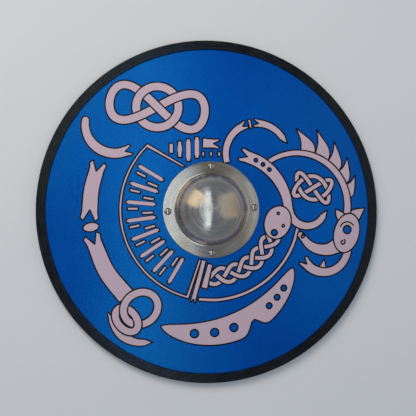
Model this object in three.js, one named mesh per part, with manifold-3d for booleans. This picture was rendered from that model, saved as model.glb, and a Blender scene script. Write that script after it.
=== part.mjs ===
import * as THREE from 'three';
import { mergeVertices } from 'three/addons/utils/BufferGeometryUtils.js';
import Module from 'manifold-3d';

// A wooden round shield lying face up: a dished plywood board with a folded leather edging,
// a spun steel boss over a round hand hole, and a wooden grip across the hole behind it.
// Millimetres, +Z up through the boss, origin on the floor under the middle.

// ---- driving dimensions ----
const fitGap = 0.3;                 // clearance kept between neighbouring pieces
const shieldRadius = 305;           // to the outside of the leather
const dishDepth = 30;               // how far the middle of the face stands above its edge
const boardThickness = 8;
const handHoleRadius = 58;
const rimSides = 72;                // facets round the board and the edging

const leatherThickness = 2;
const edgingLap = 17.5;               // leather seen on the face, from the rim inwards
const restingBand = 4.5;            // flattened underside of the fold, which lies on the floor
const seamGap = 0.5;                // open butt joint between two strips of leather
const seamAngles = { top: 88, left: 254, short: 263.5 };   // degrees, anticlockwise from +X

const bossFlangeRadius = 84.5;
const bossWallRadius = 62;          // outside of the dome where it leaves the flange
const bossHeight = 48;              // dome above the flange
const bossThickness = 1.6;
const bossFillet = 4;
const bossSides = 48;
const domeSteps = 8;

const boltCircle = 76;
const boltStations = { right: 3, top: 90, left: 183, bottom: 270.5 };   // degrees from +X
const shankRadius = 2.5;
const boltHoleRadius = 2.9;
const headRadius = 6.3;
const headHeight = 3.6;
const headEdge = 0.5;               // upright edge under the dome of the head
const shortShank = 19;
const longShank = 29.5;             // where the bolt also holds the grip
const nutAcrossFlats = 8;
const nutThickness = 4;
const washerRadius = 7.5;
const washerThickness = 1.2;
const turnedSides = 12;            // facets round bolts, washers and bolt holes

const gripLength = 192;
const gripWidth = 30;
const gripWaist = 27;               // width at the middle of the hand hold
const gripEndWidth = 34;
const gripEndThickness = 10;
const gripHoldThickness = 22;
const gripHoldLength = 84;          // the thick part between the two shoulders
const gripStraightLength = 40;      // middle stretch with flat, parallel sides
const gripRounding = 5;

// ---- the dish that every piece follows ----
const boardRadius = shieldRadius - leatherThickness - fitGap;
const faceSphere = (boardRadius ** 2 + dishDepth ** 2) / (2 * dishDepth);
const rimBackHeight = leatherThickness + fitGap;
const sphereCentre = rimBackHeight - Math.sqrt((faceSphere - boardThickness) ** 2 - boardRadius ** 2);

// Height, at distance r from the axis, of the surface that lies `offset` outside the painted face.
function dishHeight(r, offset) {
  return sphereCentre + Math.sqrt((faceSphere + offset) ** 2 - r ** 2);
}

const faceToBack = -boardThickness;
const flangeUnder = fitGap;
const flangeTop = fitGap + bossThickness;
const gripFront = faceToBack - fitGap;

// ---- helpers ----
const radians = THREE.MathUtils.degToRad;
const wasm = await Module();
wasm.setup();

// A closed outline of [radius, height] pairs, anticlockwise, turned about Z.
function turned(outline, sides) {
  const points = outline.map(([r, z]) => new THREE.Vector2(r, z));
  const geometry = new THREE.LatheGeometry(points, sides);
  geometry.rotateX(Math.PI / 2);
  return geometry;
}

// Points on an ellipse arc in the [radius, height] plane, angles in degrees.
function arc(centreR, centreZ, radiusR, radiusZ, from, to, steps) {
  return Array.from({ length: steps + 1 }, (_, i) => {
    const angle = radians(from + (to - from) * i / steps);
    return [centreR + radiusR * Math.cos(angle), centreZ + radiusZ * Math.sin(angle)];
  });
}

function solidOf(geometry) {
  const bare = geometry.clone();
  bare.deleteAttribute('normal');
  bare.deleteAttribute('uv');
  const merged = mergeVertices(bare, 1e-4);
  return new wasm.Manifold(new wasm.Mesh({
    numProp: 3,
    vertProperties: new Float32Array(merged.attributes.position.array),
    triVerts: new Uint32Array(merged.index.array),
  }));
}

function geometryOf(solid) {
  const mesh = solid.getMesh();
  const geometry = new THREE.BufferGeometry();
  geometry.setAttribute('position', new THREE.BufferAttribute(mesh.vertProperties, mesh.numProp));
  geometry.setIndex(new THREE.BufferAttribute(mesh.triVerts, 1));
  geometry.computeVertexNormals();
  return geometry;
}

function cutAway(geometry, cutters) {
  return geometryOf(cutters.reduce((rest, cutter) => rest.subtract(solidOf(cutter)), solidOf(geometry)));
}

// The place and lean of a bolt: on the bolt circle, square to the dish.
function stationMatrix(angle, offset) {
  const lean = Math.asin(boltCircle / faceSphere);
  const turn = new THREE.Matrix4().makeRotationZ(radians(angle));
  const tilt = new THREE.Matrix4().makeRotationY(lean);
  const place = new THREE.Matrix4().makeTranslation(boltCircle, 0, dishHeight(boltCircle, offset));
  return turn.multiply(place).multiply(tilt);
}

function boltHoles(angles) {
  const length = 4 * gripHoldThickness;
  return angles.map((angle) => {
    const hole = new THREE.CylinderGeometry(boltHoleRadius, boltHoleRadius, length, turnedSides);
    return hole.rotateX(Math.PI / 2).applyMatrix4(stationMatrix(angle, 0));
  });
}

// ---- board ----
function boardGeometry() {
  const rings = [handHoleRadius, 95, 150, 205, 255, shieldRadius - edgingLap, boardRadius];
  const back = rings.map((r) => [r, dishHeight(r, faceToBack)]);
  const face = rings.map((r) => [r, dishHeight(r, 0)]).reverse();
  const outline = [...back, ...face, back[0]];
  return cutAway(turned(outline, rimSides), boltHoles(Object.values(boltStations)));
}

// ---- leather edging, folded over the rim and lapped on both sides ----
function edgingOutline() {
  const lip = shieldRadius - edgingLap;
  const inside = boardRadius + fitGap;
  const outer = fitGap + leatherThickness;
  const foldTop = dishHeight(inside, outer) - leatherThickness / 2;
  const fold = leatherThickness * 1.25;
  const flatEnd = shieldRadius - fold;
  return [
    [lip, dishHeight(lip, faceToBack - outer)],
    [flatEnd - restingBand, 0],
    ...arc(flatEnd, fold, fold, fold, -90, 0, 3),
    ...arc(flatEnd, foldTop - fold, fold, fold, 0, 76, 3),
    [lip + leatherThickness / 2, dishHeight(lip + leatherThickness / 2, outer)],
    [lip, dishHeight(lip, outer - leatherThickness / 2)],
    [lip, dishHeight(lip, fitGap)],
    [inside, dishHeight(inside, fitGap)],
    [inside, dishHeight(inside, faceToBack - fitGap)],
    [lip, dishHeight(lip, faceToBack - fitGap)],
    [lip, dishHeight(lip, faceToBack - outer)],
  ];
}

// A wedge of space from one seam anticlockwise to the next, short of each by half a seam.
function sector(from, to) {
  const reach = shieldRadius * 1.2;
  const halfSeam = THREE.MathUtils.radToDeg(seamGap / 2 / shieldRadius);
  const span = to - from - 2 * halfSeam;
  const steps = Math.ceil(span / 20);
  const corners = Array.from({ length: steps + 1 }, (_, i) => {
    const angle = radians(from + halfSeam + span * i / steps);
    return new THREE.Vector2(reach * Math.cos(angle), reach * Math.sin(angle));
  });
  const shape = new THREE.Shape([new THREE.Vector2(0, 0), ...corners]);
  return new THREE.ExtrudeGeometry(shape, { depth: 4 * dishDepth, bevelEnabled: false })
    .translate(0, 0, -dishDepth);
}

function edgingStrip(from, to) {
  const ring = solidOf(turned(edgingOutline(), rimSides));
  return geometryOf(ring.intersect(solidOf(sector(from, to))));
}

// ---- boss ----
function bossGeometry() {
  const bend = bossWallRadius + bossFillet;            // where the flange starts to turn up
  const springing = dishHeight(bend, flangeTop) + bossFillet;
  const rise = bossHeight - bossFillet;
  const innerFillet = bossFillet + bossThickness;
  const innerWall = bossWallRadius - bossThickness;
  const innerRise = rise - bossThickness;
  const outline = [
    ...arc(0, springing, innerWall, innerRise, 90, 0, domeSteps),
    ...arc(bend, springing, innerFillet, innerFillet, 180, 270, 3).slice(1),
    [bossFlangeRadius, dishHeight(bossFlangeRadius, flangeUnder)],
    [bossFlangeRadius, dishHeight(bossFlangeRadius, flangeTop)],
    ...arc(bend, springing, bossFillet, bossFillet, 270, 180, 3),
    ...arc(0, springing, bossWallRadius, rise, 0, 90, domeSteps).slice(1),
  ];
  outline[0][0] = 0;
  outline[outline.length - 1][0] = 0;
  return cutAway(turned(outline, bossSides), boltHoles(Object.values(boltStations)));
}

// ---- grip ----
// One cross-section of the grip at x: a rectangle with rounded back corners, anticlockwise
// seen from +X, its front and back following the dish beyond the hand hole.
function gripSection(x) {
  const reach = Math.abs(x);
  const holdHalf = gripHoldLength / 2;
  const shoulder = THREE.MathUtils.smoothstep(reach, holdHalf, handHoleRadius + 4);
  const flare = THREE.MathUtils.smoothstep(reach, holdHalf, gripLength / 2);
  const waist = 1 - THREE.MathUtils.smoothstep(reach, gripStraightLength / 2, holdHalf);
  const middle = THREE.MathUtils.lerp(gripWidth, gripWaist, waist);
  const half = THREE.MathUtils.lerp(middle, gripEndWidth, flare) / 2;
  const rounding = THREE.MathUtils.lerp(gripRounding, 2, shoulder);
  const frontAt = (y) => dishHeight(Math.max(Math.hypot(x, y), handHoleRadius), gripFront);
  const holdBack = dishHeight(handHoleRadius, gripFront) - gripHoldThickness;
  const backAt = (y) => THREE.MathUtils.lerp(
    holdBack, dishHeight(Math.hypot(x, y), gripFront - gripEndThickness), shoulder);
  const soft = 1.5;                                    // eased front corners
  const lower = arc(0, 0, rounding, rounding, 270, 360, 2);
  const right = lower.map(([dy, dz]) => [half - rounding + dy, rounding + dz]);
  const corner = [
    ...right.map(([y, dz]) => [y, backAt(y) + dz]),
    [half, frontAt(half) - soft],
    [half - soft, frontAt(half - soft)],
  ];
  const mirrored = corner.map(([y, z]) => [-y, z]).reverse();
  return [...corner, ...mirrored].map(([y, z]) => new THREE.Vector3(x, y, z));
}

function loft(sections) {
  const count = sections[0].length;
  const index = [];
  for (let s = 0; s + 1 < sections.length; s++) {
    for (let i = 0; i < count; i++) {
      const a = s * count + i;
      const b = s * count + (i + 1) % count;
      index.push(a, b, b + count, a, b + count, a + count);
    }
  }
  const last = (sections.length - 1) * count;
  for (let i = 1; i + 1 < count; i++) {
    index.push(0, i + 1, i, last, last + i, last + i + 1);
  }
  const geometry = new THREE.BufferGeometry().setFromPoints(sections.flat());
  geometry.setIndex(index);
  return geometry;
}

function gripGeometry() {
  const half = gripLength / 2;
  const places = [0, gripStraightLength / 2, 32, gripHoldLength / 2, 47, 52, 57, 62, 78, half];
  const stations = [...places.slice(1).reverse().map((x) => -x), ...places];
  return cutAway(loft(stations.map(gripSection)), boltHoles([0, 180]));
}

// ---- fastenings, each about its own bolt axis with the flange's top face at height 0 ----
function boltGeometry(shankLength) {
  const under = fitGap;
  const crown = headHeight - headEdge;
  return turned([
    [0, -shankLength],
    [shankRadius - 0.6, -shankLength],
    [shankRadius, -shankLength + 0.6],
    [shankRadius, under],
    [headRadius, under],
    ...arc(0, under + headEdge, headRadius, crown, 0, 90, 4).slice(0, -1),
    [0, under + headHeight],
  ], turnedSides);
}

// A flat plate with a round hole through its middle, standing up from height 0.
function holedPlate(shape, thickness) {
  shape.holes.push(new THREE.Path().absarc(0, 0, boltHoleRadius, 0, 2 * Math.PI, true));
  const settings = { depth: thickness, bevelEnabled: false, curveSegments: turnedSides / 2 };
  return new THREE.ExtrudeGeometry(shape, settings);
}

function washerGeometry() {
  return holedPlate(new THREE.Shape().absarc(0, 0, washerRadius, 0, 2 * Math.PI), washerThickness);
}

function nutGeometry() {
  const corner = nutAcrossFlats / Math.sqrt(3);
  const corners = Array.from({ length: 6 }, (_, i) => new THREE.Vector2(
    corner * Math.cos(i * Math.PI / 3), corner * Math.sin(i * Math.PI / 3)));
  return holedPlate(new THREE.Shape(corners), nutThickness);
}

// ---- materials ----
function finish(color, roughness, metalness) {
  return new THREE.MeshStandardMaterial({ color, roughness, metalness });
}

const bluePaint = finish('#0354a3', 0.42, 0);
const blackLeather = finish('#17161a', 0.6, 0);
const spunSteel = finish('#9b9790', 0.32, 1);
const brightSteel = finish('#d8d9dc', 0.12, 1);
const oiledWood = finish('#9a6b3f', 0.55, 0);
const zincSteel = finish('#b4b6b8', 0.35, 1);

// ---- assembly ----
const shield = new THREE.Group();

function add(parent, name, geometry, material) {
  const mesh = new THREE.Mesh(geometry, material);
  mesh.name = name;
  parent.add(mesh);
  return mesh;
}

add(shield, 'board', boardGeometry(), bluePaint);
add(shield, 'edging_left', edgingStrip(seamAngles.top, seamAngles.left), blackLeather);
add(shield, 'edging_short', edgingStrip(seamAngles.left, seamAngles.short), blackLeather);
add(shield, 'edging_right', edgingStrip(seamAngles.short, seamAngles.top + 360), blackLeather);
add(shield, 'boss', bossGeometry(), spunSteel);
add(shield, 'grip', gripGeometry(), oiledWood).rotation.z = radians(boltStations.right);

for (const [side, angle] of Object.entries(boltStations)) {
  const station = new THREE.Group();
  station.applyMatrix4(stationMatrix(angle, flangeTop));
  shield.add(station);
  const holdsGrip = side === 'left' || side === 'right';
  const grasp = flangeTop - gripFront + (holdsGrip ? gripEndThickness + fitGap : 0);
  add(station, `bolt_${side}`, boltGeometry(holdsGrip ? longShank : shortShank), brightSteel);
  add(station, `washer_${side}`, washerGeometry(), zincSteel).position.z = -grasp - washerThickness;
  add(station, `nut_${side}`, nutGeometry(), zincSteel).position.z =
    -grasp - washerThickness - fitGap - nutThickness;
}

export default shield;
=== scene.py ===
import math
import random

import bpy
import numpy as np
from mathutils import Matrix, Vector


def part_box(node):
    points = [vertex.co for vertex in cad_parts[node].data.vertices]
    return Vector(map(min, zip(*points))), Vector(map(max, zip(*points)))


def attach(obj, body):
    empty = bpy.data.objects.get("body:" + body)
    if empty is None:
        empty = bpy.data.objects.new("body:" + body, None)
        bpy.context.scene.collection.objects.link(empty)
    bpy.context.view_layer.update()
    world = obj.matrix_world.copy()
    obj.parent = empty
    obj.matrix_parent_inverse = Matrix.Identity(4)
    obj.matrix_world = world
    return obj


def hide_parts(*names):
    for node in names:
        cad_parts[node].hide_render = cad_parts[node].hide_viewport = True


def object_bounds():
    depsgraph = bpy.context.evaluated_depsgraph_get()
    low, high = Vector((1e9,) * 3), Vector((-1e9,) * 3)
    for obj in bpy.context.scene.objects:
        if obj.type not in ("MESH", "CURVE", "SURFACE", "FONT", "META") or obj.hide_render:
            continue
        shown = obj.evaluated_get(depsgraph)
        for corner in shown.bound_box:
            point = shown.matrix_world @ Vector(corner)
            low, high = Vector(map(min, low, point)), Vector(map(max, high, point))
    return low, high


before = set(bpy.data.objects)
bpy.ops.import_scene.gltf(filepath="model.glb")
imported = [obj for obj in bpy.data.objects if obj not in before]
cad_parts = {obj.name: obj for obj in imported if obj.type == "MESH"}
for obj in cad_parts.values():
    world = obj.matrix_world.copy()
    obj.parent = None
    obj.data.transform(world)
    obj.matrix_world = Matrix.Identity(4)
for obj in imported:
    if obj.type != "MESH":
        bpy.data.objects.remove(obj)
cadLow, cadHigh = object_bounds()
mm = 0.001

# the dish: the painted face is part of a sphere, and every piece follows it
shieldRadius = cadHigh.x
boardLow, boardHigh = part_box("board")
boardRadius = boardHigh.x
dish = {"depth": 30 * mm, "thickness": 8 * mm, "handHole": 58 * mm, "fitGap": 0.3 * mm}
faceSphere = (boardRadius ** 2 + dish["depth"] ** 2) / (2 * dish["depth"])
backSphere = faceSphere - dish["thickness"]
sphereCentre = boardLow.z - math.sqrt(backSphere ** 2 - boardRadius ** 2)


def dishHeight(r, offset=0.0):      # height of the surface lying offset outside the painted face
    return sphereCentre + np.sqrt((faceSphere + offset) ** 2 - np.square(r))


def heightAt(r, offset=0.0):            # the same for one point
    return float(dishHeight(r, offset))


# steps that several pieces share
def clearSelection():
    if bpy.context.mode != "OBJECT":
        bpy.ops.object.mode_set(mode="OBJECT")
    bpy.ops.object.select_all(action="DESELECT")


def pick(piece):
    clearSelection()
    piece.select_set(True)
    bpy.context.view_layer.objects.active = piece
    return piece


def named(name):
    piece = bpy.context.object
    piece.name = piece.data.name = name
    return piece


def editAll():
    bpy.ops.object.mode_set(mode="EDIT")
    bpy.ops.mesh.select_all(action="SELECT")


def faceOutwards():                     # ends the edit
    bpy.ops.mesh.select_all(action="SELECT")
    bpy.ops.mesh.normals_make_consistent(inside=False)
    bpy.ops.object.mode_set(mode="OBJECT")


def applyModifiers(piece):
    pick(piece)
    for modifier in list(piece.modifiers):
        bpy.ops.object.modifier_apply(modifier=modifier.name)


def smooth(piece, angle):
    pick(piece)
    bpy.ops.object.shade_smooth_by_angle(angle=math.radians(angle))


def arcPoints(centre, radii, start, end, steps):     # angles in degrees, in the (radius, height) plane
    angles = np.radians(np.linspace(start, end, steps + 1))
    return [(centre[0] + radii[0] * math.cos(a), centre[1] + radii[1] * math.sin(a)) for a in angles]


# A vertex drawn out along an outline of (radius, height) pairs and spun round the shield's axis.
def turned(name, outline, steps, start=0.0, sweep=360.0):
    clearSelection()
    bpy.ops.mesh.primitive_plane_add(size=1 * mm, location=(0, 0, 0))
    piece = named(name)
    editAll()
    bpy.ops.mesh.merge(type="CENTER")
    bpy.ops.transform.translate(value=(outline[0][0], 0, outline[0][1]))
    for (r0, z0), (r1, z1) in zip(outline, outline[1:]):
        bpy.ops.mesh.extrude_region_move(TRANSFORM_OT_translate={"value": (r1 - r0, 0, z1 - z0)})
    bpy.ops.mesh.select_all(action="SELECT")
    bpy.ops.mesh.remove_doubles(threshold=0.002 * mm)
    bpy.ops.mesh.select_all(action="SELECT")
    whole = abs(sweep - 360) < 0.001
    closedOutline = math.dist(outline[0], outline[-1]) < 0.002 * mm
    # a negative angle spins anticlockwise as seen from above
    bpy.ops.mesh.spin(steps=steps, angle=-math.radians(sweep), center=(0, 0, 0), axis=(0, 0, 1))
    bpy.ops.mesh.select_all(action="SELECT")
    bpy.ops.mesh.remove_doubles(threshold=0.002 * mm)
    if closedOutline and not whole:
        bpy.ops.mesh.fill_holes(sides=0)
    faceOutwards()
    piece.rotation_euler.z = math.radians(start)
    bpy.ops.object.transform_apply(location=True, rotation=True, scale=True)
    return piece


def coordinates(piece):
    values = np.empty(len(piece.data.vertices) * 3, np.float32)
    piece.data.vertices.foreach_get("co", values)
    return values.reshape(-1, 3).astype(float)


def setCoordinates(piece, points):
    piece.data.vertices.foreach_set("co", points.astype(np.float32).ravel())
    piece.data.update()


def meshReport(piece):
    bpy.context.view_layer.update()
    print(f"{piece.name}: {len(piece.data.polygons)} faces")


# over the face, leaning a little towards -x and -y; leans in degrees, aim and lens in mm
camera = {"distance": 1600 * mm, "leanX": 5.85, "leanY": 2.80, "aim": (-4.75, 3.05, 30.0),
          "lens": 78.84, "sensor": 36.0}


def makeCamera():
    aim = Vector(camera["aim"]) * mm
    back = Vector((-math.sin(math.radians(camera["leanX"])), -math.sin(math.radians(camera["leanY"])), 0))
    back.z = math.sqrt(1 - back.length_squared)
    right = Vector((0, 1, 0)).cross(back).normalized()
    up = back.cross(right)
    bpy.ops.object.camera_add(location=aim + back * camera["distance"])
    eye = bpy.context.object
    eye.rotation_mode = "QUATERNION"
    axes = [(right[i], up[i], back[i]) for i in range(3)]
    eye.rotation_quaternion = Matrix(axes).to_quaternion()
    eye.data.sensor_width = camera["sensor"]
    eye.data.lens = camera["lens"]
    eye.data.clip_start, eye.data.clip_end = 0.05, 20
    bpy.context.scene.camera = eye


def applyTransform(piece):
    pick(piece)
    bpy.ops.object.transform_apply(location=True, rotation=True, scale=True)


# Faces are chosen in code, by their middle and normal, before an edit-mode step.
def selectFaces(piece, wanted):
    pick(piece)
    bpy.ops.object.mode_set(mode="EDIT")
    bpy.ops.mesh.select_mode(type="FACE")
    bpy.ops.mesh.select_all(action="DESELECT")
    bpy.ops.object.mode_set(mode="OBJECT")
    for face in piece.data.polygons:
        face.select = bool(wanted(face.center, face.normal))
    bpy.ops.object.mode_set(mode="EDIT")
    bpy.ops.mesh.select_mode(type="VERT")


def cutWith(piece, cutter, operation="DIFFERENCE"):
    pick(piece)
    cut = piece.modifiers.new("cut", "BOOLEAN")
    cut.object, cut.operation, cut.solver = cutter, operation, "EXACT"
    applyModifiers(piece)
    bpy.data.objects.remove(cutter, do_unlink=True)


def finishPiece(piece, slotName, *nodes):
    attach(piece, "root")
    if nodes:
        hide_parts(*nodes)
    meshReport(piece)


# materials are put together from these
def newMaterial(name, **sockets):
    finish = bpy.data.materials.new(name)
    finish.use_nodes = True
    shader = finish.node_tree.nodes["Principled BSDF"]
    for socket, value in sockets.items():
        shader.inputs[socket.replace("_", " ")].default_value = value
    return finish, finish.node_tree, shader


def node(tree, kind, links=None, **settings):
    made = tree.nodes.new("ShaderNode" + kind)
    for key, value in settings.items():
        if hasattr(made, key):
            setattr(made, key, value)
        else:
            made.inputs[key.replace("_", " ")].default_value = value
    for socket, source in (links or {}).items():
        tree.links.new(source, made.inputs[socket])
    return made


def objectSpace(tree, scale=(1, 1, 1), turn=0.0):
    place = node(tree, "TexCoord")
    spread = node(tree, "Mapping", {"Vector": place.outputs["Object"]})
    spread.inputs["Scale"].default_value = scale
    spread.inputs["Rotation"].default_value = (0, 0, math.radians(turn))
    return spread.outputs["Vector"]


def cloud(tree, vector, scale, detail=3.0, roughness=0.55):
    noise = node(tree, "TexNoise", {"Vector": vector}, Scale=scale, Detail=detail, Roughness=roughness)
    return noise.outputs["Fac"]


def ramp(tree, factor, stops):
    colours = node(tree, "ValToRGB", {"Fac": factor})
    elements = colours.color_ramp.elements
    while len(elements) < len(stops):
        elements.new(0.5)
    for element, (place, colour) in zip(elements, stops):
        element.position = place
        element.color = (*colour, 1) if len(colour) == 3 else colour
    return colours.outputs["Color"]


def greyRamp(tree, factor, *stops):      # stops of (place, grey level)
    return ramp(tree, factor, [(place, (level, level, level)) for place, level in stops])


def mixColour(tree, factor, first, second):
    mixer = node(tree, "Mix", data_type="RGBA")
    for socket, value in ((mixer.inputs[0], factor), (mixer.inputs[6], first), (mixer.inputs[7], second)):
        if isinstance(value, bpy.types.NodeSocket):
            tree.links.new(value, socket)
        elif isinstance(value, tuple):
            socket.default_value = (*value, 1)
        else:
            socket.default_value = value
    return mixer.outputs[2]


def maths(tree, operation, first, second=0.0, third=0.0):
    step = node(tree, "Math", operation=operation)
    for socket, value in zip(step.inputs, (first, second, third)):
        if isinstance(value, bpy.types.NodeSocket):
            tree.links.new(value, socket)
        else:
            socket.default_value = value
    return step.outputs[0]


def bump(tree, shader, *layers):        # layers of (height, depth in mm), the coarsest first
    normal = None
    for height, depth in layers:
        step = node(tree, "Bump", {"Height": height}, Distance=depth * mm)
        if normal:
            tree.links.new(normal, step.inputs["Normal"])
        normal = step.outputs["Normal"]
    tree.links.new(normal, shader.inputs["Normal"])


def colourWith(tree, shader, colour):
    tree.links.new(colour, shader.inputs["Base Color"])


def roughenWith(tree, shader, pattern, low, high, start=0.3, end=0.7):
    tree.links.new(greyRamp(tree, pattern, (start, low), (end, high)), shader.inputs["Roughness"])


def linear(*screen):                    # a colour as it looks on a screen, each part 0 to 255
    return tuple(((c / 255 + 0.055) / 1.055) ** 2.4 if c > 10 else c / 255 / 12.92 for c in screen)


# place on the shield, with the distance from its axis, for patterns that run round it
def polar(tree):
    x, y, z = node(tree, "SeparateXYZ", {"Vector": objectSpace(tree)}).outputs
    across, along = maths(tree, "MULTIPLY", x, x), maths(tree, "MULTIPLY", y, y)
    return x, y, z, maths(tree, "SQRT", maths(tree, "ADD", across, along))


# the board: painted face, bare plywood edge and back
board = {"steps": 256, "ringGap": 8 * mm, "holeRound": 0.8 * mm,
         "blue": linear(0, 70, 166), "blueDeep": linear(0, 56, 151), "gloss": 0.19,
         "ply": linear(214, 178, 132), "plyDark": linear(176, 134, 88), "plyLight": linear(226, 196, 154),
         "layer": linear(208, 170, 124), "layerDark": linear(140, 98, 60), "plies": 5}


def blueMaterial():
    finish, tree, shader = newMaterial("bluePaint", Roughness=board["gloss"], Specular_IOR_Level=1.0, IOR=1.6,
                                       Specular_Tint=(0.03, 0.52, 0.90, 1))
    streaks = cloud(tree, objectSpace(tree, (1, 0.2, 1)), 170, 4)
    drift = cloud(tree, objectSpace(tree), 7, 3)
    roller = cloud(tree, objectSpace(tree), 300, 4, 0.65)
    tone = mixColour(tree, 0.45, drift, roller)
    colourWith(tree, shader, ramp(tree, tone, [(0.38, board["blueDeep"]), (0.62, board["blue"])]))
    roughenWith(tree, shader, streaks, board["gloss"] - 0.04, board["gloss"] + 0.08)
    bump(tree, shader, (roller, 0.35))
    return finish


def plyMaterial():
    finish, tree, shader = newMaterial("barePly", Roughness=0.6, Specular_IOR_Level=0.3)
    x, y, z, radius = polar(tree)
    warped = cloud(tree, objectSpace(tree, (0.05, 1, 1)), 60, 5, 0.6)
    pores = cloud(tree, objectSpace(tree, (0.03, 1, 1)), 700, 3)
    figure = ramp(tree, warped, [(0.35, board["plyDark"]), (0.5, board["ply"]), (0.7, board["plyLight"])])
    face = mixColour(tree, greyRamp(tree, pores, (0.52, 0.0), (0.7, 0.35)), figure, board["plyDark"])
    # height over the back of the board, for the layers that show at its edges
    drop = maths(tree, "POWER", maths(tree, "SUBTRACT", z, sphereCentre), 2.0)
    reach = maths(tree, "SQRT", maths(tree, "ADD", maths(tree, "MULTIPLY", radius, radius), drop))
    height = maths(tree, "SUBTRACT", reach, backSphere)
    layer = maths(tree, "FRACT", maths(tree, "MULTIPLY", height, board["plies"] / (2 * dish["thickness"])))
    onEdge = maths(tree, "MULTIPLY", maths(tree, "GREATER_THAN", height, 0.6 * mm), 0.75)
    layers = ramp(tree, layer, [(0.46, board["layer"]), (0.54, board["layerDark"])])
    colourWith(tree, shader, mixColour(tree, onEdge, face, layers))
    bump(tree, shader, (warped, 0.08), (pores, 0.05))
    return finish


def makeBoard():
    hole, rim, ease, under = dish["handHole"], boardRadius, board["holeRound"], -dish["thickness"]
    rings = list(np.linspace(hole + ease, rim - ease, round((rim - hole) / board["ringGap"])))
    face = [(r, heightAt(r)) for r in rings]
    back = [(r, heightAt(r, under)) for r in reversed(rings)]
    outer = [(rim, heightAt(rim) - ease), (rim, heightAt(rim, under) + ease)]
    inner = [(hole, heightAt(hole, under) + ease), (hole, heightAt(hole) - ease)]
    piece = turned("board_body", [*face, *outer, *back, *inner, face[0]], board["steps"])
    for angle in stations.values():
        cutWith(piece, boltHole(angle))
    piece.data.materials.append(blueMaterial())
    piece.data.materials.append(plyMaterial())
    selectFaces(piece, lambda middle, normal: normal.z < 0.3)
    piece.active_material_index = 1
    bpy.ops.object.material_slot_assign()
    smooth(piece, 30)
    finishPiece(piece, "painted_board", "board")


# painted figures, drawn flat in millimetres and then laid over the dish
painting = {"step": 2.2, "rise": 0.1, "sink": 0.05, "lineWidth": 2.6, "lineRise": 0.06, "wander": 0.12,
            "corner": 0.8, "grid": 8.0, "gridReach": 288, "seed": 7,
            "point": 2.4, "flare": 1.15, "reach": 1.2,
            "pale": linear(190, 167, 183), "paleWarm": linear(196, 172, 184), "line": linear(8, 6, 10),
            "lineWorn": linear(18, 15, 20)}


def through(points, closed=False):
    # an even, smooth run through the points
    step = painting["step"]
    points = np.array([p[:2] for p in points], float)
    if len(points) < 3 and not closed:
        count = max(1, round(math.dist(points[0], points[-1]) / step))
        return points[0] + np.linspace(0, 1, count + 1)[:, None] * (points[-1] - points[0])
    if closed:
        ends = np.vstack([points[-1], points, points[:2]])
    else:
        ends = np.vstack([2 * points[0] - points[1], points, 2 * points[-1] - points[-2]])
    fine = []
    for a, b, c, d in zip(ends, ends[1:], ends[2:], ends[3:]):
        ta, tb, tc = (max(math.dist(p, q), 1e-6) ** 0.5 for p, q in ((a, b), (b, c), (c, d)))
        leave = (b - a) / ta - (c - a) / (ta + tb) + (c - b) / tb
        arrive = (c - b) / tb - (d - b) / (tb + tc) + (d - c) / tc
        t = np.linspace(0, 1, 16, endpoint=False)[:, None]
        leave, arrive = leave * tb, arrive * tb
        square = 3 * (c - b) - 2 * leave - arrive
        cube = 2 * (b - c) + leave + arrive
        fine.append(b + leave * t + square * t ** 2 + cube * t ** 3)
    fine.append(ends[-2:-1])
    fine = np.vstack(fine)
    along = np.concatenate([[0], np.cumsum(np.hypot(*np.diff(fine, axis=0).T))])
    count = max(2, round(along[-1] / step))
    even = np.linspace(0, along[-1], count + 1)
    if closed:
        even = even[:-1]
    return np.column_stack([np.interp(even, along, fine[:, i]) for i in (0, 1)])


def outlineOf(corners):
    # (x, y, 1) is a corner, (x, y) a point that the edge runs smoothly through
    first = next((i for i, p in enumerate(corners) if len(p) == 3), None)
    if first is None:
        return through(corners, closed=True)
    fromCorner = corners[first:] + corners[:first + 1]
    runs, run = [], [fromCorner[0]]
    for point in fromCorner[1:]:
        run.append(point)
        if len(point) == 3:
            runs.append(through(run)[:-1])
            run = [point]
    return np.vstack(runs)


def normalsOf(line):
    ahead = np.gradient(line, axis=0)
    ahead /= np.hypot(*ahead.T)[:, None]
    return np.column_stack([-ahead[:, 1], ahead[:, 0]])


def widthsAlong(line, widths):
    along = np.concatenate([[0], np.cumsum(np.hypot(*np.diff(line, axis=0).T))])
    return np.interp(along / along[-1], np.linspace(0, 1, len(widths)), widths)


def ribbonEnd(at, spread, forward, kind):
    # a flat end has no points of its own
    if kind == "round":
        return [at + spread * math.cos(a) + forward * math.sin(a) for a in np.linspace(0.3, math.pi - 0.3, 7)]
    if kind == "point":
        return [at + forward * painting["point"]]
    if kind == "fork":
        flare, reach = painting["flare"], painting["reach"]
        return [at + spread * flare + forward * reach * 0.7, at + spread * 0.75 + forward * reach,
                at - forward * 0.2,
                at - spread * 0.75 + forward * reach, at - spread * flare + forward * reach * 0.7]
    return []


def ribbon(points, widths, start="", end=""):
    line = through(points)
    half = widthsAlong(line, widths)[:, None] / 2 * normalsOf(line)
    ends = []
    for kind, place, heading in ((end, -1, 1), (start, 0, -1)):
        forward = np.array([half[place][1], -half[place][0]]) * heading
        tip = ribbonEnd(line[place], half[place] * heading, forward, kind)
        ends.append(np.array(tip).reshape(-1, 2))
    return np.vstack([line + half, ends[0], (line - half)[::-1], ends[1]])


def onArc(radius, degrees, x=0, y=0):
    return (x + radius * math.cos(math.radians(degrees)), y + radius * math.sin(math.radians(degrees)))


def arc(x, y, radius, start, end):
    turns = np.linspace(start, end, max(3, round(abs(end - start) / 12) + 1))
    return [onArc(radius, turn, x, y) for turn in turns]


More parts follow.
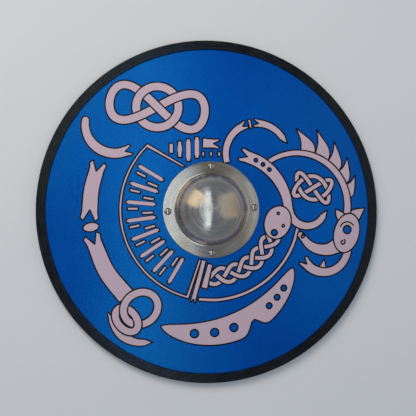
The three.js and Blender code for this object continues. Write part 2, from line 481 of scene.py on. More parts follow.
def thorn(x, y, radius, angle, spread, length, sweep):
    # a curved spike that stands on a circle and leans round it
    def spot(out, turn):
        return onArc(radius + out, turn, x, y)
    return outlineOf([(*spot(0, angle + spread / 2), 1),
                      spot(length * 0.5, angle + spread * 0.35 + sweep * 0.25),
                      (*spot(length, angle + sweep), 1),
                      spot(length * 0.45, angle - spread * 0.3 + sweep * 0.1),
                      (*spot(0, angle - spread / 2), 1)])


def leaning(x, y, acrossX, acrossY, degrees):
    c, s = math.cos(math.radians(degrees)), math.sin(math.radians(degrees))
    return np.column_stack([x + acrossX * c - acrossY * s, y + acrossX * s + acrossY * c])


def disc(x, y, wide, tall=None, turn=0.0):
    tall = tall or wide
    count = max(12, round(2 * math.pi * max(wide, tall) / 1.6))
    a = np.arange(count) * 2 * math.pi / count
    return leaning(x, y, wide * np.cos(a), tall * np.sin(a), turn)


def bar(start, end, width):
    start, end = np.array(start, float), np.array(end, float)
    ahead = (end - start) / math.dist(start, end)
    side = np.array([-ahead[1], ahead[0]]) * width / 2
    return np.array([start + side, end + side, end - side, start - side])


# the layout is in millimetres and degrees round the middle of the face
layout = {"sideRadius": 211, "bandRadius": 158, "bandWidth": 5, "ribRadius": 158, "bossClear": 89,
          "strokes": 8, "strokesFrom": 149, "strokesTo": 240, "crest": (156, 10, 92), "thorns": 5,
          "plateFrom": 247, "plateTo": 325, "plateRadius": 221, "plateDrop": 42, "plateHalf": 25}


def plateAt(along):                     # middle radius, half width and angle of the long plate
    angle = layout["plateFrom"] + (layout["plateTo"] - layout["plateFrom"]) * along
    half = layout["plateHalf"] * np.sin(math.pi * np.clip(along, 0.002, 0.998)) ** 0.55
    return layout["plateRadius"] - layout["plateDrop"] * along ** 1.7, half, angle


# each figure is (level, outline, holes, edge lines); a higher level lies over a lower one
def figures():
    made = []

    def add(level, outline, *holes):
        made.append((level, outline, list(holes), [(loop, True) for loop in (outline, *holes)]))

    # hook beside the upper knot
    add(0, ribbon(arc(-168, 150, 52, 172, 292), (14, 18, 18), start="round", end="fork"))
    # side band in two lengths with a bead between them
    side = layout["sideRadius"]
    add(1, ribbon(arc(0, 0, side, 161, 181), (26, 28), start="fork", end="fork"))
    add(1, disc(*onArc(side, 188.5), 14, 8, 8.5))
    add(1, ribbon(arc(0, 0, side, 196, 226), (27, 32), start="fork"))
    # tail below the lower ring
    add(0, ribbon(arc(-120, -180, 52, 186, 276), (13, 17, 12), start="fork", end="point"))
    # the long plate: a tapering crescent with a bite and two groups of holes
    along = np.linspace(0, 1, 46)
    middle, half, angle = plateAt(along)
    bite = 22 * np.exp(-((along - 0.57) / 0.045) ** 2)
    outer = [onArc(m + h - cut, a) for m, h, cut, a in zip(middle, half, bite, angle)]
    inner = [onArc(m - h, a) for m, h, a in zip(middle, half, angle)]
    holes = []
    for first, gap, size in ((0.2, 0.12, 7.4), (0.7, 0.075, 5.2)):
        for spot in first + gap * np.arange(3):
            radius, reach, turn = plateAt(spot)
            holes.append(disc(*onArc(radius, turn), size))
    add(2, np.array(outer + inner[::-1]), *holes)
    # bars and pennant over the boss
    for k in range(4):
        x = -70 + 15 * k
        low = max(math.sqrt(layout["bossClear"] ** 2 - x * x) + 4, 98 - 7 * k)
        add(1, bar((x, low), (x, 116 + 4 * k), 7.5))
    add(1, ribbon([(-15, 117), (6, 116)], (18, 16), end="fork"))
    for x in (-14, 0, 14):
        add(1, bar((x, 93), (x, 102), 5))
    # the band round the left of the boss, with its rows of strokes
    clear, band, thick = layout["bossClear"], layout["bandRadius"], layout["bandWidth"] / 2
    edges = []
    for radius, start, end in ((band + thick, 134, 256), (band - thick, 254, 136)):
        first, *between, last = [onArc(radius, a) for a in np.linspace(start, end, 21)]
        edges.append([(*first, 1), *between, (*last, 1)])
    corners = [(*onArc(clear, a), 1) for a in (121, 259, 256, 124)]
    add(1, outlineOf([corners[0], *edges[0], *corners[1:3], *edges[1], corners[3]]))
    for angle in np.linspace(layout["strokesFrom"], layout["strokesTo"], layout["strokes"]):
        add(1, bar(onArc(97, angle), onArc(149, angle), 6))
        if angle < 235:
            add(1, bar(onArc(127, angle + 4.6), onArc(146, angle + 4.6), 5.6))
            add(1, bar(onArc(101, angle + 8.2), onArc(121, angle + 8.2), 5.6))
    # upper right arch, with a collar at its top
    add(1, ribbon(arc(82, 98, 56, 196, 116), (12, 14), end="fork"))
    add(1, ribbon(arc(82, 98, 56, 105, 100), (16, 16)))
    add(0, ribbon(arc(82, 98, 56, 88, 34), (14, 12), start="fork", end="point"))
    # crest: a back that runs into the head, with thorns in an even fan
    x, y, radius = layout["crest"]
    add(1, ribbon(arc(x, y, radius, 131, -14), (9, 12, 14)))
    for angle in np.linspace(78, 14, layout["thorns"]):
        add(0, thorn(x, y, radius, angle, 17, 50 - abs(angle - 66) * 0.4, 13))
    # thick limb: two arcs, one way and then the other
    add(3, ribbon([*arc(34, -6, 104, 74, 6), *arc(172, 6, 34, 196, 330)], (22, 22, 18, 15, 12),
                  start="fork", end="point"),
        *[disc(*spot, 3.4) for spot in arc(34, -6, 104, 64, 48)])
    # beast head with open jaws
    add(4, disc(246, -40, 24, 36, -16), disc(247, -34, 7.5))
    add(3, thorn(246, -40, 26, 62, 46, 32, -10))
    add(3, thorn(246, -40, 24, 108, 40, 24, 8))
    add(2, ribbon([(238, -58), (208, -70), (180, -64), (160, -44)], (30, 22, 17, 12), end="round"))
    add(2, ribbon(arc(204, -66, 44, 8, -140), (15, 15, 16, 18), end="fork"))
    add(1, thorn(204, -66, 40, -96, 24, -20, 6))
    # body plate, rib, staff and the cap at the far end of the braid
    add(4, disc(118, -22, 24, 30, -20), disc(112, -40, 5.5))
    add(1, ribbon(arc(0, 0, layout["ribRadius"], -10, -98), (6.5, 6.5)))
    add(1, ribbon([onArc(clear, -98), onArc(160, -101)], (8.5, 9), end="fork"))
    add(4, ribbon([onArc(clear + 6, -91), onArc(138, -95)], (9, 12)))
    return made


# strands that pass over and under each other by turns
def crossingsOf(strands):
    found = []
    for i, (first, firstClosed) in enumerate(strands):
        for j, (second, secondClosed) in enumerate(strands[i:], i):
            a0, b0 = first, second
            a1 = np.roll(first, -1, 0) if firstClosed else first[1:]
            b1 = np.roll(second, -1, 0) if secondClosed else second[1:]
            for m in range(len(a1)):
                low = m + 2 if i == j else 0
                p, r = a0[m], a1[m] - a0[m]
                q, s = b0[low:len(b1)], b1[low:] - b0[low:len(b1)]
                cross = r[0] * s[:, 1] - r[1] * s[:, 0]
                gap = q - p
                with np.errstate(divide="ignore", invalid="ignore"):
                    t = (gap[:, 0] * s[:, 1] - gap[:, 1] * s[:, 0]) / cross
                    u = (gap[:, 0] * r[1] - gap[:, 1] * r[0]) / cross
                for n in np.nonzero((t >= 0) & (t < 1) & (u >= 0) & (u < 1))[0]:
                    if i == j and firstClosed and m == 0 and n + low == len(b1) - 1:
                        continue
                    found.append({"at": [(i, m + t[n]), (j, n + low + u[n])], "over": None})
    return found


def visitsOf(strand, crossings):        # the crossings that one strand comes to, in order
    return sorted((place, k, side) for k, c in enumerate(crossings)
                  for side, (which, place) in enumerate(c["at"]) if which == strand)


def weave(level, strands, width):
    shapes = []
    crossings = crossingsOf(strands)
    for i in range(len(strands)):
        visits = visitsOf(i, crossings)
        lead = True
        for n, (place, k, side) in enumerate(visits):
            if crossings[k]["over"] is not None:        # settled by an earlier strand
                lead = (crossings[k]["over"] == side) == (n % 2 == 0)
                break
        for n, (place, k, side) in enumerate(visits):
            if crossings[k]["over"] is None:
                crossings[k]["over"] = side if (n % 2 == 0) == lead else 1 - side
    # each strand is laid in lengths, one to a crossing, that meet halfway between crossings
    for i, (line, closed) in enumerate(strands):
        wrapped = np.vstack([line[-1:], line, line[:1]]) if closed else line
        normals = normalsOf(wrapped)[1:-1] if closed else normalsOf(wrapped)
        left, right = line + normals * width / 2, line - normals * width / 2
        visits = [(place, crossings[k]["over"] == side) for place, k, side in visitsOf(i, crossings)]
        places = [place for place, over in visits]
        last = len(line) if closed else len(line) - 1
        cuts = [round((p + q) / 2) for p, q in zip(places, places[1:])]
        cuts = [round((places[-1] - last + places[0]) / 2)] + cuts if closed else [0] + cuts + [last]
        cuts += [cuts[0] + last] if closed else []
        for (place, over), start, end in zip(visits, cuts, cuts[1:]):
            spots = np.arange(start, end + 1) % len(line)
            shapes.append((level + (1 if over else 0), np.vstack([left[spots], right[spots][::-1]]), [],
                           [(left[spots], False), (right[spots], False)]))
    return shapes


def spiral(x, y, radius, start, turns):
    steps = 22
    a = np.linspace(0, turns * 2 * math.pi, steps)
    r = radius * (1 - 0.8 * np.arange(steps) / (steps - 1))
    return np.column_stack([x + r * np.cos(a + math.radians(start)), y + r * np.sin(a + math.radians(start))])


def closedRun(points):
    return through(points, closed=True), True


def ring(x, y, wide, tall, turn=0.0):
    return closedRun(disc(x, y, wide, tall, turn)[::3])


def knots():
    # a lying eight through a ring at the upper left, two linked rings at the lower left
    t = np.arange(120) * 2 * math.pi / 120
    eight = leaning(-94, 181, 84 * np.cos(t), 32 * np.sin(2 * t), -8)
    shapes = weave(1, [closedRun(eight), ring(-94, 181, 37, 37)], 16)
    shapes += weave(2, [ring(-122, -172, 31, 27, 35), ring(-146, -192, 24, 16, -50)], 14)
    # an endless knot in the neck, and a braid of three behind the boss
    t = np.arange(150) * 2 * math.pi / 150
    knot = leaning(183, 40, 33 * np.sin(2 * t), 21 * np.sin(3 * t + 0.5 * math.pi), -12)
    shapes += weave(1, [closedRun(knot)], 9)
    strands = []
    for phase in (0, 120, 240):
        points = []
        for a in np.linspace(-22, -94, 37):
            swing = 13.5 * math.cos(math.radians((a + 24) * 360 / 38 + phase))
            points.append(onArc(117 + swing, a))
        strands.append((through(points), False))
    return shapes + weave(1, strands, 9)


def marks():
    lines = [spiral(163, -46, 4.5, 100, -1.2), spiral(238, -56, 5.5, 60, -1.1),
             through(arc(247, -34, 14, 160, 30))]
    return [(line, False) for line in lines] + [(disc(119, -6, 2.2), True), (disc(128, -28, 2.2), True)]


def eased(loop, closed):                # corners rounded a little, as a brush turns them
    reach, count, points = painting["corner"], len(loop), []
    for i, here in enumerate(loop):
        before, after = loop[i - 1], loop[(i + 1) % count]
        back, on = before - here, after - here
        backLength, onLength = math.hypot(*back), math.hypot(*on)
        if (not closed and i in (0, count - 1)) or min(backLength, onLength) < 1e-6:
            points.append(here)
            continue
        turn = math.acos(max(-1.0, min(1.0, -float(back @ on) / (backLength * onLength))))
        if turn < 0.4:
            points.append(here)
            continue
        start = here + back / backLength * min(reach, backLength * 0.45)
        end = here + on / onLength * min(reach, onLength * 0.45)
        points += [(1 - t) ** 2 * start + 2 * t * (1 - t) * here + t * t * end for t in np.linspace(0, 1, 6)]
    return np.array(points)


def drawn(name, loops, chance=None):    # a flat curve through the loops, each (points, closed)
    flat = bpy.data.curves.new(name, "CURVE")
    flat.dimensions = "2D"
    for loop, closed in loops:
        spline = flat.splines.new("POLY")
        spline.points.add(len(loop) - 1)
        count = len(loop)
        placed = np.column_stack([loop * mm, np.zeros(count), np.ones(count)])
        spline.points.foreach_set("co", placed.ravel())
        spline.use_cyclic_u = closed
        if chance:
            swell = [1 + painting["wander"] * (chance.random() * 2 - 1) for i in range(count // 6 + 3)]
            spline.points.foreach_set("radius", np.interp(np.arange(count) / 6, np.arange(len(swell)), swell))
    piece = bpy.data.objects.new(name, flat)
    bpy.context.collection.objects.link(piece)
    return piece


def joined(parts, name):
    clearSelection()
    for part in parts:
        part.select_set(True)
    bpy.context.view_layer.objects.active = parts[0]
    bpy.ops.object.convert(target="MESH")
    bpy.ops.object.transform_apply(location=True, rotation=True, scale=True)
    bpy.ops.object.join()
    return named(name)


def draped(piece):                      # the flat work is laid over the dish
    points = coordinates(piece)
    points[:, 2] = dishHeight(np.hypot(points[:, 0], points[:, 1]), points[:, 2])
    setCoordinates(piece, points)


def paintMaterial(name, first, second, gloss, shine):
    finish, tree, shader = newMaterial(name, Roughness=gloss, Specular_IOR_Level=shine)
    streaks = cloud(tree, objectSpace(tree, (1, 0.12, 1)), 240, 4)
    drift = cloud(tree, objectSpace(tree), 14, 3)
    tone = mixColour(tree, 0.5, drift, streaks)
    colourWith(tree, shader, ramp(tree, tone, [(0.35, first), (0.65, second)]))
    roughenWith(tree, shader, streaks, gloss - 0.05, gloss + 0.08)
    bump(tree, shader, (streaks, 0.05), (cloud(tree, objectSpace(tree), 900, 2), 0.012))
    return finish


def makePainting():
    chance = random.Random(painting["seed"])
    fills, lines = [], []
    drawnMarks = [(6, None, [], [mark]) for mark in marks()]
    for level, outline, holes, edges in [*figures(), *knots(), *drawnMarks]:
        lift = (level + 1) * painting["rise"]
        if outline is not None:
            fill = drawn("fill", [(eased(loop, True), True) for loop in (outline, *holes)])
            fill.data.fill_mode = "BOTH"
            fill.data.extrude = (lift + painting["sink"]) / 2 * mm
            fill.location.z = (lift - painting["sink"]) / 2 * mm
            fills.append(fill)
        if edges:
            stroke = drawn("stroke", [(eased(loop, closed), closed) for loop, closed in edges], chance)
            stroke.data.fill_mode = "NONE"
            stroke.data.bevel_depth, stroke.data.bevel_resolution = painting["lineWidth"] / 2 * mm, 0
            stroke.data.use_fill_caps = True
            stroke.location.z = lift            # levels kept far apart until each is laid down below
            lines.append(stroke)
    figure = joined(fills, "paleFigures")
    pick(figure)
    editAll()
    bpy.ops.mesh.remove_doubles(threshold=0.0005 * mm)
    for axis in ((1, 0, 0), (0, 1, 0)):
        for place in np.arange(-painting["gridReach"], painting["gridReach"] + 1, painting["grid"]):
            bpy.ops.mesh.select_all(action="SELECT")
            bpy.ops.mesh.bisect(plane_co=tuple(c * place * mm for c in axis), plane_no=axis)
    faceOutwards()
    draped(figure)
    pale = paintMaterial("palePaint", painting["pale"], painting["paleWarm"], 0.42, 0.3)
    figure.data.materials.append(pale)
    smooth(figure, 20)
    finishPiece(figure, "painted_board")

    # each stroke goes to its level: its crown and sides just over the fill, its foot in the board
    outlines = joined(lines, "blackOutlines")
    points = coordinates(outlines)
    lift = np.round(points[:, 2] / painting["rise"]) * painting["rise"]
    rise = points[:, 2] - lift
    crown, foot = rise > 0.3 * mm, rise < -0.3 * mm
    points[:, 2] = lift * mm + painting["lineRise"] / 2 * mm
    points[crown, 2] += painting["lineRise"] / 2 * mm
    points[foot, 2] = -painting["sink"] * mm
    setCoordinates(outlines, points)
    draped(outlines)
    black = paintMaterial("blackPaint", painting["line"], painting["lineWorn"], 0.4, 0.14)
    outlines.data.materials.append(black)
    smooth(outlines, 60)
    finishPiece(outlines, "painted_board")


# bolts, washers and nuts, on four stations given by their angle
bolts = {"circle": 76 * mm, "holeRadius": 2.9 * mm, "shankRadius": 2.5 * mm, "pitch": 0.8 * mm,
         "shortShank": 19 * mm, "longShank": 29.5 * mm, "headRadius": 6.3 * mm, "headHeight": 3.6 * mm,
         "headEdge": 0.5 * mm, "washerRadius": 7.5 * mm, "washerThickness": 1.2 * mm,
         "nutAcrossFlats": 8 * mm, "nutThickness": 4 * mm, "steps": 48,
         "nutTurns": {"right": 12, "top": -20, "left": 5, "bottom": 24},
         "zinc": linear(206, 208, 208), "zincDark": linear(168, 172, 176)}
stations = {"right": 3, "top": 90, "left": 183, "bottom": 270.5}
bossThickness = 1.6 * mm
gripEndThickness = 10 * mm
flangeTop = dish["fitGap"] + bossThickness


def stationPlace(angle, offset):        # on the bolt circle, square to the dish
    lean = math.asin(bolts["circle"] / faceSphere)
    place = Matrix.Translation((bolts["circle"], 0, heightAt(bolts["circle"], offset)))
    return Matrix.Rotation(math.radians(angle), 4, "Z") @ place @ Matrix.Rotation(lean, 4, "Y")


def boltHole(angle):
    clearSelection()
    bpy.ops.mesh.primitive_cylinder_add(vertices=24, radius=bolts["holeRadius"], depth=90 * mm)
    cutter = named("boltHole")
    cutter.matrix_world = stationPlace(angle, 0)
    applyTransform(cutter)
    return cutter


def copyTo(model, name, place):
    clearSelection()
    copied = model.copy()
    copied.data = model.data.copy()
    copied.name = copied.data.name = name
    bpy.context.collection.objects.link(copied)
    copied.matrix_world = place
    applyTransform(copied)
    return copied


def boltModel(length):
    r, pitch, crown = bolts["shankRadius"], bolts["pitch"], bolts["headHeight"] - bolts["headEdge"]
    under, head, edge = dish["fitGap"], bolts["headRadius"], bolts["headEdge"]
    turns = int((length - 4 * mm) / pitch)
    thread = [(0, -length), (r - 0.7 * mm, -length)]
    for i in range(turns):
        base = -length + 0.5 * mm + i * pitch
        thread += [(r - 0.45 * mm, base), (r, base + 0.35 * pitch), (r, base + 0.5 * pitch)]
    thread += [(r, under), (head - 0.3 * mm, under), (head, under + 0.2 * mm)]
    thread += arcPoints((0, under + edge), (head, crown), 4, 90, 14)
    thread[-1] = (0, under + edge + crown)
    return turned("boltModel", thread, bolts["steps"])


def washerModel():
    inner, outer, thick = bolts["holeRadius"], bolts["washerRadius"], bolts["washerThickness"]
    ease = 0.25 * mm
    outline = [(inner, ease), (inner + ease, 0), (outer - ease, 0), (outer, ease), (outer, thick - ease),
               (outer - ease, thick), (inner + ease, thick), (inner, thick - ease), (inner, ease)]
    return turned("washerModel", outline, bolts["steps"])


def nutModel():
    inner, thick, corner = bolts["holeRadius"], bolts["nutThickness"], bolts["nutAcrossFlats"] / math.sqrt(3)
    flat = bolts["nutAcrossFlats"] / 2
    ease, chamfer = 0.4 * mm, 0.45 * mm
    outline = [(inner, ease), (inner + ease, 0), (flat, 0), (corner, chamfer), (corner, thick - chamfer),
               (flat, thick), (inner + ease, thick), (inner, thick - ease), (inner, ease)]
    nut = turned("nutModel", outline, bolts["steps"])
    clearSelection()
    bpy.ops.mesh.primitive_cylinder_add(vertices=6, radius=corner + 0.001 * mm, depth=3 * thick,
                                        rotation=(0, 0, math.radians(30)))
    hexagon = named("hexagon")
    applyTransform(hexagon)
    cutWith(nut, hexagon, "INTERSECT")
    return nut


def brightMaterial():
    finish, tree, shader = newMaterial("brightSteel", Metallic=1.0, Roughness=0.1,
                                       Base_Color=(0.36, 0.35, 0.33, 1))
    roughenWith(tree, shader, cloud(tree, objectSpace(tree), 900, 3), 0.04, 0.1, 0.35, 0.75)
    bump(tree, shader, (cloud(tree, objectSpace(tree), 500, 2), 0.01))
    return finish


def zincMaterial():
    finish, tree, shader = newMaterial("zincSteel", Metallic=1.0, Roughness=0.35)
    patches = cloud(tree, objectSpace(tree), 420, 4)
    colourWith(tree, shader, ramp(tree, patches, [(0.3, bolts["zincDark"]), (0.7, bolts["zinc"])]))
    roughenWith(tree, shader, patches, 0.28, 0.46)
    bump(tree, shader, (cloud(tree, objectSpace(tree), 1600, 2), 0.01))
    return finish


def makeFastenings():
    bright, zinc = brightMaterial(), zincMaterial()
    models = {"short": boltModel(bolts["shortShank"]), "long": boltModel(bolts["longShank"])}
    washer, nut = washerModel(), nutModel()
    for model, finish in ((models["short"], bright), (models["long"], bright), (washer, zinc), (nut, zinc)):
        smooth(model, 28)
        model.data.materials.append(finish)
    for side, angle in stations.items():
        shank, grasp = "short", flangeTop + dish["thickness"] + dish["fitGap"]
        if side in ("left", "right"):       # these two also hold the grip
            shank, grasp = "long", grasp + gripEndThickness + dish["fitGap"]
        seat = stationPlace(angle, flangeTop)
        washerDrop = grasp + bolts["washerThickness"]
        under = Matrix.Translation((0, 0, -washerDrop))
        below = Matrix.Translation((0, 0, -washerDrop - dish["fitGap"] - bolts["nutThickness"]))
        spun = Matrix.Rotation(math.radians(bolts["nutTurns"][side]), 4, "Z")
        finishPiece(copyTo(models[shank], f"bolt_fine_{side}", seat), "bright_steel", f"bolt_{side}")
        finishPiece(copyTo(washer, f"washer_fine_{side}", seat @ under), "zinc_steel", f"washer_{side}")
        finishPiece(copyTo(nut, f"nut_fine_{side}", seat @ below @ spun), "zinc_steel", f"nut_{side}")
    for model in (*models.values(), washer, nut):
        bpy.data.objects.remove(model, do_unlink=True)


# leather edging in three lengths folded over the rim; top, left and short are its seams, in degrees
edging = {"lap": 17.5 * mm, "thickness": 2 * mm, "restingBand": 4.5 * mm, "seamGap": 0.5 * mm,
          "stepAngle": 0.75, "top": 88.0, "left": 254.0, "short": 263.5,
          "rippleSize": 55 * mm, "ripple": 1.1 * mm, "rippleHeight": 0.35 * mm,
          "black": linear(5, 5, 4), "worn": linear(24, 21, 18)}


def edgingOutline():
    thick, gap = edging["thickness"], dish["fitGap"]
    lip, inside, outer = shieldRadius - edging["lap"], boardRadius + gap, gap + thick
    back = -dish["thickness"]
    foldTop = heightAt(inside, outer) - thick / 2
    fold = thick * 1.25
    flatEnd = shieldRadius - fold
    restStart = flatEnd - edging["restingBand"]
    lipBack = heightAt(lip, back - outer)
    front = [(r, heightAt(r, outer)) for r in np.linspace(flatEnd + 0.9 * mm, lip + thick * 0.6, 6)]
    return [(lip, lipBack + 0.5 * mm), (lip + 0.5 * mm, lipBack),
            *[(r, lipBack * (restStart - r) / (restStart - lip))
              for r in np.linspace(lip + 2 * mm, restStart, 4)],
            *arcPoints((flatEnd, fold), (fold, fold), -90, 0, 7),
            *arcPoints((flatEnd, foldTop - fold), (fold, fold), 0, 70, 6),
            *front,
            (lip + 0.55 * mm, heightAt(lip, outer - 0.15 * mm)),
            (lip + 0.15 * mm, heightAt(lip, outer - 0.55 * mm)),
            (lip, heightAt(lip, outer - thick * 0.6)),
            (lip, heightAt(lip, gap)),
            (inside, heightAt(inside, gap)),
            (inside, heightAt(inside, back - gap)),
            (lip, heightAt(lip, back - gap)),
            (lip, lipBack + 0.5 * mm)]


def leatherMaterial():
    finish, tree, shader = newMaterial("blackLeather", Roughness=0.3, Specular_IOR_Level=0.35,
                                       Specular_Tint=(0.55, 0.75, 1.0, 1))
    x, y, z, radius = polar(tree)
    turn = maths(tree, "ARCTAN2", y, x)
    grain = node(tree, "TexVoronoi", {"Vector": objectSpace(tree)}, feature="SMOOTH_F1", Scale=620)
    stretch = cloud(tree, objectSpace(tree), 55, 4)
    along = node(tree, "CombineXYZ", {"X": maths(tree, "MULTIPLY", turn, 0.02), "Y": radius})
    strokes = cloud(tree, along.outputs["Vector"], 420, 4)
    tone = mixColour(tree, 0.5, stretch, strokes)
    colourWith(tree, shader, ramp(tree, tone, [(0.42, edging["black"]), (0.62, edging["worn"])]))
    roughenWith(tree, shader, strokes, 0.2, 0.46, 0.42, 0.6)
    bump(tree, shader, (stretch, 0.5), (strokes, 0.25), (grain.outputs["Distance"], 0.2))
    return finish


def makeEdging():
    outline, leather = edgingOutline(), leatherMaterial()
    halfSeam = math.degrees(edging["seamGap"] / 2 / shieldRadius)
    spans = {"left": (edging["top"], edging["left"]), "short": (edging["left"], edging["short"]),
             "right": (edging["short"], edging["top"] + 360)}
    ripple = bpy.data.textures.new("leatherRipple", "CLOUDS")
    ripple.noise_scale = edging["rippleSize"]
    for side, (start, end) in spans.items():
        sweep = end - start - 2 * halfSeam
        steps = max(8, round(sweep / edging["stepAngle"]))
        piece = turned(f"leather_{side}", outline, steps, start + halfSeam, sweep)
        loose = piece.vertex_groups.new(name="loose")
        radii = np.hypot(*coordinates(piece).T[:2])
        loose.add([i for i, r in enumerate(radii) if r < boardRadius - 6 * mm], 1.0, "REPLACE")
        for axis in ("X", "Y", "Z"):
            shift = piece.modifiers.new("ripple" + axis, "DISPLACE")
            shift.texture, shift.direction, shift.vertex_group = ripple, axis, "loose"
            shift.strength = edging["rippleHeight"] if axis == "Z" else edging["ripple"]
            shift.mid_level = 0.5
        applyModifiers(piece)
        piece.vertex_groups.clear()
        piece.data.materials.append(leather)
        smooth(piece, 50)
        finishPiece(piece, "black_leather", f"edging_{side}")


# the spun boss and its flange
boss = {"flangeRadius": 84.5 * mm, "wallRadius": 62 * mm, "height": 48 * mm, "fillet": 4 * mm, "steps": 192,
        "domeSteps": 40, "steel": linear(206, 200, 190), "steelDark": linear(180, 174, 164),
        "steelWarm": linear(172, 154, 128), "brushing": 0.2}


def spunMaterial():
    finish, tree, shader = newMaterial("spunSteel", Metallic=1.0, Roughness=boss["brushing"], Anisotropic=0.9,
                                       Anisotropic_Rotation=0.25)
    x, y, z, radius = polar(tree)
    ringPlace = node(tree, "CombineXYZ", {"X": maths(tree, "MULTIPLY_ADD", y, 0.04, radius), "Y": z,
                                          "Z": maths(tree, "MULTIPLY", x, 0.12)})
    rings = cloud(tree, ringPlace.outputs["Vector"], 2600, 5, 0.7)
    broad = cloud(tree, ringPlace.outputs["Vector"], 260, 3)
    cast = cloud(tree, objectSpace(tree), 16, 3)
    tone = mixColour(tree, 0.4, broad, rings)
    polished = ramp(tree, tone, [(0.3, boss["steelDark"]), (0.7, boss["steel"])])
    warm = greyRamp(tree, cast, (0.45, 0.0), (0.65, 0.7))
    colourWith(tree, shader, mixColour(tree, warm, polished, boss["steelWarm"]))
    roughenWith(tree, shader, broad, boss["brushing"] - 0.06, boss["brushing"] + 0.1)
    around = node(tree, "Tangent", direction_type="RADIAL", axis="Z")
    tree.links.new(around.outputs["Tangent"], shader.inputs["Tangent"])
    bump(tree, shader, (broad, 0.05), (rings, 0.012))
    return finish


def makeBoss():
    fillet, wall, flange = boss["fillet"], boss["wallRadius"], boss["flangeRadius"]
    bend, rise, steps = wall + fillet, boss["height"] - fillet, boss["domeSteps"]
    springing = heightAt(bend, flangeTop) + fillet
    innerFillet = fillet + bossThickness
    edge = 0.4 * mm
    under = [(r, heightAt(r, dish["fitGap"])) for r in np.linspace(bend + 1 * mm, flange - edge, 5)]
    over = [(r, heightAt(r, flangeTop)) for r in np.linspace(flange - edge, bend + 1 * mm, 7)]
    outline = [*arcPoints((0, springing), (wall - bossThickness, rise - bossThickness), 90, 0, steps),
               *arcPoints((bend, springing), (innerFillet, innerFillet), 180, 268, 8)[1:],
               *under,
               (flange, under[-1][1] + edge), (flange, over[0][1] - edge),
               *over,
               *arcPoints((bend, springing), (fillet, fillet), 268, 180, 8),
               *arcPoints((0, springing), (wall, rise), 0, 90, steps)[1:]]
    outline[0], outline[-1] = (0, outline[0][1]), (0, outline[-1][1])
    piece = turned("boss_shell", outline, boss["steps"])
    for angle in stations.values():
        cutWith(piece, boltHole(angle))
    piece.data.materials.append(spunMaterial())
    smooth(piece, 40)
    finishPiece(piece, "spun_steel", "boss")


# the wooden grip across the back
grip = {"length": 192 * mm, "width": 30 * mm, "waist": 27 * mm, "endWidth": 34 * mm,
        "endThickness": gripEndThickness, "holdThickness": 22 * mm, "holdLength": 84 * mm,
        "straight": 40 * mm, "rounding": 5 * mm, "stations": 96,
        "wood": linear(172, 122, 72), "woodDark": linear(118, 76, 42), "woodLight": linear(196, 148, 96)}


def ease(value, low, high):
    part = np.clip((value - low) / (high - low), 0, 1)
    return part * part * (3 - 2 * part)


# One cross-section of the grip at x: flat front that follows the dish, back corners rounded.
def gripSection(x):
    reach, holdHalf, hole = abs(x), grip["holdLength"] / 2, dish["handHole"]
    front = -dish["thickness"] - dish["fitGap"]
    shoulder = ease(reach, holdHalf, hole + 4 * mm)
    flare = ease(reach, holdHalf, grip["length"] / 2)
    waist = 1 - ease(reach, grip["straight"] / 2, holdHalf)
    middle = grip["width"] + (grip["waist"] - grip["width"]) * waist
    half = (middle + (grip["endWidth"] - middle) * flare) / 2
    rounding = grip["rounding"] + (2 * mm - grip["rounding"]) * shoulder
    holdBack = heightAt(hole, front) - grip["holdThickness"]

    def frontAt(y):
        return heightAt(max(math.hypot(x, y), hole), front)

    def backAt(y):
        endBack = heightAt(math.hypot(x, y), front - grip["endThickness"])
        return holdBack + (endBack - holdBack) * shoulder

    soft = 1.5 * mm
    right = [(y, backAt(y)) for y in np.linspace(0, half - rounding, 4)[:-1]]
    right += [(half - rounding + dy, rounding + dz + backAt(half - rounding + dy))
              for dy, dz in arcPoints((0, 0), (rounding, rounding), -90, 0, 5)]
    right += [(half, (frontAt(half) + backAt(half)) / 2)]
    right += [(half - soft + dy, frontAt(half) - soft + dz)
              for dy, dz in arcPoints((0, 0), (soft, soft), 0, 90, 3)]
    right += [(y, frontAt(y)) for y in np.linspace(half - soft, 0, 4)[1:]]
    left = [(-y, z) for y, z in reversed(right[1:-1])]
    return [(x, y, z) for y, z in right + left]


def woodMaterial():
    finish, tree, shader = newMaterial("oiledWood", Roughness=0.45, Specular_IOR_Level=0.4)
    turnedSpace = objectSpace(tree, (0.06, 1, 1), -stations["right"])
    warp = cloud(tree, turnedSpace, 45, 4, 0.5)
    figure = node(tree, "TexWave", {"Vector": turnedSpace}, wave_type="RINGS", rings_direction="X", Scale=95,
                  Distortion=5.5, Detail=3.0, Detail_Scale=1.2)
    pores = cloud(tree, objectSpace(tree, (0.04, 1, 1), -stations["right"]), 1100, 3)
    rings = figure.outputs["Fac"]
    base = ramp(tree, rings, [(0.15, grip["woodDark"]), (0.55, grip["wood"]), (0.95, grip["woodLight"])])
    lighter = ramp(tree, warp, [(0.35, grip["wood"]), (0.7, grip["woodLight"])])
    toned = mixColour(tree, 0.5, base, lighter)
    inPores = greyRamp(tree, pores, (0.55, 0), (0.75, 0.6))
    colourWith(tree, shader, mixColour(tree, inPores, toned, grip["woodDark"]))
    roughenWith(tree, shader, pores, 0.38, 0.55)
    bump(tree, shader, (rings, 0.05), (pores, 0.05))
    return finish


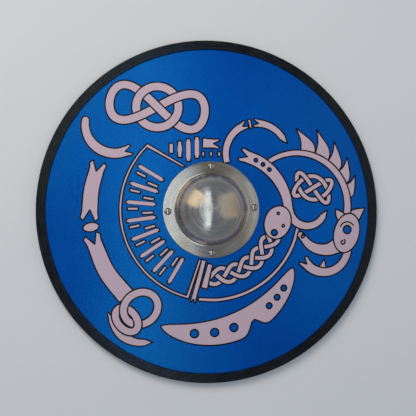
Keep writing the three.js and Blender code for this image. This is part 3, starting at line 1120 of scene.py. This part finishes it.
def makeGrip():
    places = np.linspace(-grip["length"] / 2, grip["length"] / 2, grip["stations"] + 1)
    count = len(gripSection(0.0))
    clearSelection()
    bpy.ops.mesh.primitive_circle_add(vertices=count, radius=15 * mm, fill_type="NGON",
                                      rotation=(math.radians(90), 0, math.radians(90)))
    piece = named("grip_bar")
    applyTransform(piece)
    editAll()
    for gap in np.diff(places):
        bpy.ops.mesh.extrude_region_move(TRANSFORM_OT_translate={"value": (gap, 0, 0)})
    bpy.ops.object.mode_set(mode="OBJECT")
    points = coordinates(piece)
    order = np.round((points[:, 0] - points[:, 0].min()) / (places[1] - places[0])).astype(int)
    turn = np.arctan2(points[:, 1], -points[:, 2])
    spot = np.round(turn / (2 * math.pi) * count).astype(int) % count
    sections = np.array([gripSection(float(x)) for x in places])
    setCoordinates(piece, sections[order, spot])
    pick(piece)
    editAll()
    faceOutwards()
    soften = piece.modifiers.new("soften", "BEVEL")
    soften.width, soften.segments = 0.8 * mm, 2
    soften.limit_method, soften.angle_limit = "ANGLE", math.radians(50)
    applyModifiers(piece)
    piece.rotation_euler.z = math.radians(stations["right"])
    applyTransform(piece)
    for side in ("left", "right"):
        cutWith(piece, boltHole(stations[side]))
    piece.data.materials.append(woodMaterial())
    smooth(piece, 35)
    finishPiece(piece, "oiled_wood", "grip")


# floor and studio light
floor = {"size": 40.0, "colour": linear(214, 216, 219)}
lights = {
    "key": {"at": (-1.0, 1.9, 2.0), "size": (1.2, 1.2), "power": 33,
            "colour": (1.0, 0.975, 0.945), "mirrored": False},
    "strip": {"at": (-0.4, 0.0, 2.5), "size": (5.0, 0.7), "power": 19,
              "colour": (0.80, 0.91, 1.0), "mirrored": True},
    "warm": {"at": (-1.6, 1.1, 1.6), "size": (1.7, 1.7), "power": 11,
             "colour": (1.0, 0.80, 0.46), "mirrored": True},
    "fill": {"at": (1.8, 0.4, 1.7), "size": (2.6, 2.6), "power": 8,
             "colour": (1.0, 0.84, 0.58), "mirrored": True},
}
studio = {"colour": (0.21, 0.24, 0.29), "brightness": 1.0}


def makeFloor():
    clearSelection()
    bpy.ops.mesh.primitive_plane_add(size=floor["size"], location=(0, 0, 0))
    ground = named("floor")
    finish, tree, shader = newMaterial("paleFloor", Roughness=0.9, Specular_IOR_Level=0.1)
    drift = cloud(tree, objectSpace(tree), 3, 2)
    lighter = tuple(c * 1.02 for c in floor["colour"])
    colourWith(tree, shader, ramp(tree, drift, [(0.3, floor["colour"]), (0.7, lighter)]))
    bump(tree, shader, (cloud(tree, objectSpace(tree), 70, 3), 0.4))
    ground.data.materials.append(finish)


def makeLights():
    for name, lamp in lights.items():
        place = Vector(lamp["at"])
        bpy.ops.object.light_add(type="AREA", location=place)
        made = bpy.context.object
        made.name = name
        made.rotation_mode = "QUATERNION"
        made.rotation_quaternion = place.to_track_quat("Z", "Y")
        made.data.shape = "RECTANGLE"
        made.data.size, made.data.size_y = lamp["size"]
        made.data.energy, made.data.color = lamp["power"], lamp["colour"]
        made.visible_glossy = lamp["mirrored"]
    scene = bpy.context.scene
    scene.view_settings.view_transform = "Standard"
    scene.world = bpy.data.worlds.new("studio")
    scene.world.use_nodes = True
    sky = scene.world.node_tree.nodes["Background"]
    sky.inputs["Color"].default_value = (*studio["colour"], 1)
    sky.inputs["Strength"].default_value = studio["brightness"]


for make in (makeCamera, makeFloor, makeLights, makeBoard, makePainting, makeEdging, makeBoss,
             makeFastenings, makeGrip):
    print(make.__name__)
    make()
